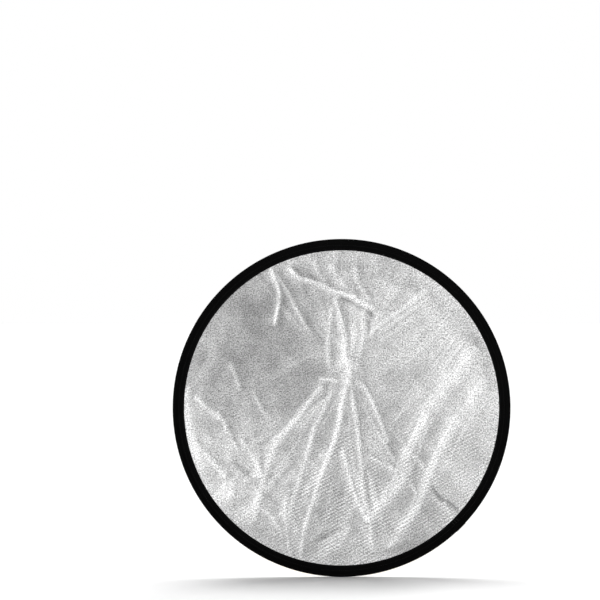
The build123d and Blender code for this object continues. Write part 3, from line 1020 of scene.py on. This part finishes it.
def lapTacks():
    # Bar tacks: short stitches packed side by side across the lap, on both sides
    bm = bmesh.new()
    bm.loops.layers.uv.new("threadMap")
    middleRadius = tape["inner"] + tack["middle"]
    surface = hemHalf + lap["thickness"] + tack["lift"]
    for row in range(tack["rows"]):
        turn = math.radians(lap["angle"]) + (row - 1) * tack["pitch"] / middleRadius
        for side in (-1, 1):
            for thread in range(tack["threads"]):
                out = (thread / (tack["threads"] - 1) - 0.5) * tack["length"]
                made = addStitch(bm, tack["wide"], tack["threadRadius"])
                tilt = Matrix.Rotation(math.radians(tack["tilt"] * (1 if thread % 2 else -1)), 4, "Y")
                raised = Matrix.Translation((0, side * surface, middleRadius + out))
                turned = Matrix.Rotation(turn, 4, "Y")
                bmesh.ops.transform(bm, matrix=turned @ raised @ tilt, verts=made)
    piece = newPiece("bar_tacks", bm, blackThread)
    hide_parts("lap_tacks")
    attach(piece, "right_half")
    print("bar tacks:", 2 * tack["rows"])


# The spring hoop inside the rim, with its two ends in the ferrule at the left

hoop = {"depth": 0.0008, "height": 0.004, "corner": 0.00018, "gap": 0.0006, "steps": 480, "sectors": 24}


def springHoop():
    bm = bmesh.new()
    radius = stripBox[1].z - hoop["depth"] / 2
    bmesh.ops.create_grid(bm, x_segments=1, y_segments=1, size=0.5)
    section = Matrix.Diagonal((hoop["depth"], hoop["height"], 1, 1))
    bmesh.ops.transform(bm, matrix=section, verts=bm.verts[:])
    bmesh.ops.bevel(
        bm, geom=bm.verts[:], offset=hoop["corner"], segments=3, profile=0.5, affect="VERTICES",
        material=-1,
    )
    atEnd = Matrix.Translation((-radius, 0, 0))
    halfGap = Matrix.Rotation(hoop["gap"] / 2 / radius, 4, "Y")
    bmesh.ops.transform(bm, matrix=halfGap @ atEnd, verts=bm.verts[:])
    bmesh.ops.delete(bm, geom=bm.faces[:], context="FACES_ONLY")
    sweep = math.tau - hoop["gap"] / radius
    spinRing(bm, bm.edges[:] + bm.verts[:], hoop["steps"], hoop["sectors"], sweep)
    bmesh.ops.holes_fill(bm, edges=bm.edges[:], sides=0)
    bmesh.ops.recalc_face_normals(bm, faces=bm.faces[:])
    piece = newPiece("spring_hoop", bm, springSteel)
    storeMap(piece, "ringMap", ringPlaces(piece), wraps=True)
    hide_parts("spring_strip_right", "spring_strip_left_upper", "spring_strip_left_lower")
    bendAcross(piece)
    print("spring hoop:", len(piece.data.polygons), "faces")


def dressNode(name, material):
    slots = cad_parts[name].data.materials
    slots.clear()
    slots.append(material)


binding = bindingTape()
tapeLap()
silverCloth = clothFace("silver")
goldCloth = clothFace("gold")
for seamName, seamRadius in (("edge_seam", edgeSeamRadius), ("channel_seam", channelSeamRadius)):
    seamRow(seamName + "_front", seamRadius, -1)
    seamRow(seamName + "_back", seamRadius, 1)
lapTacks()
springHoop()
dressNode("strip_ferrule", zincSteel)
dressNode("ferrule_wrap", shrinkTube)
print("pieces made")


# Studio: a white floor, soft lights from the front left, from above and from behind, and a bright room

studio = {
    "floorHalf": 30.0,
    "floorWhite": 0.92,
    # Where each light comes from, its strength and its softness in degrees
    "lights": {
        "key": ((-1.0, -1.6, 0.5), 1.28, 34.0),
        "topLeft": ((-0.34, 0.22, 1.0), 0.82, 24.0),
        "top": ((0.0, 0.22, 1.0), 0.82, 24.0),
        "topRight": ((0.34, 0.22, 1.0), 0.82, 24.0),
        "fill": ((1.0, 1.5, 1.0), 1.1, 30.0),
    },
    # Brightness of the walls from -Y to +Y, and its share that is left from the horizon up
    "wallLevels": [(0.0, 0.6), (0.12, 0.74), (0.35, 1.05), (0.65, 0.8), (0.9, 0.7), (1.0, 0.6)],
    "ceilingLevels": [(0.0, 1.0), (0.25, 0.8), (0.5, 0.3), (1.0, 0.15)],
}


def makeFloor():
    bm = bmesh.new()
    bmesh.ops.create_grid(bm, x_segments=8, y_segments=8, size=studio["floorHalf"])
    bmesh.ops.translate(bm, vec=(0, 0, cadBox[0][2]), verts=bm.verts[:])
    material, _, shader = newMaterial("paperFloor")
    white = greyTone(studio["floorWhite"])
    setShader(shader, {"Base Color": white, "Roughness": 0.9, "Specular IOR Level": 0.0})
    newPiece("floor", bm, material)


def makeLights():
    for name, (direction, strength, softness) in studio["lights"].items():
        data = bpy.data.lights.new(name, "SUN")
        data.energy = strength
        data.angle = math.radians(softness)
        light = bpy.data.objects.new(name, data)
        light.rotation_mode = "QUATERNION"
        light.rotation_quaternion = Vector(direction).to_track_quat("Z", "Y")
        scene.collection.objects.link(light)


def levelRamp(tree, value, levels):
    ramp = addNode(tree, "ShaderNodeValToRGB", None, {0: value})
    stops = ramp.color_ramp.elements
    stops.remove(stops[0])
    stops[0].position = levels[0][0]
    stops[0].color = greyTone(levels[0][1])
    for position, level in levels[1:]:
        stops.new(position).color = greyTone(level)
    return ramp.outputs[0]


def makeRoom():
    # Bright walls, dimmer behind the camera, under a dark ceiling
    world = bpy.data.worlds.new("room")
    scene.world = world
    world.use_nodes = True
    tree = world.node_tree
    background = tree.nodes["Background"]
    direction = addNode(tree, "ShaderNodeTexCoord").outputs["Generated"]
    parts = addNode(tree, "ShaderNodeSeparateXYZ", None, {0: direction}).outputs
    depth = doMath(tree, "MULTIPLY_ADD", parts[1], 0.5, 0.5)
    walls = levelRamp(tree, depth, studio["wallLevels"])
    ceiling = levelRamp(tree, parts[2], studio["ceilingLevels"])
    room = mixColour(tree, 1.0, walls, ceiling, "MULTIPLY")
    seen = addNode(tree, "ShaderNodeLightPath").outputs["Is Camera Ray"]
    tree.links.new(mixColour(tree, seen, room, greyTone(1.0)), background.inputs[0])


makeFloor()
makeLights()
makeRoom()
scene.view_settings.view_transform = "Standard"
print("studio lit")
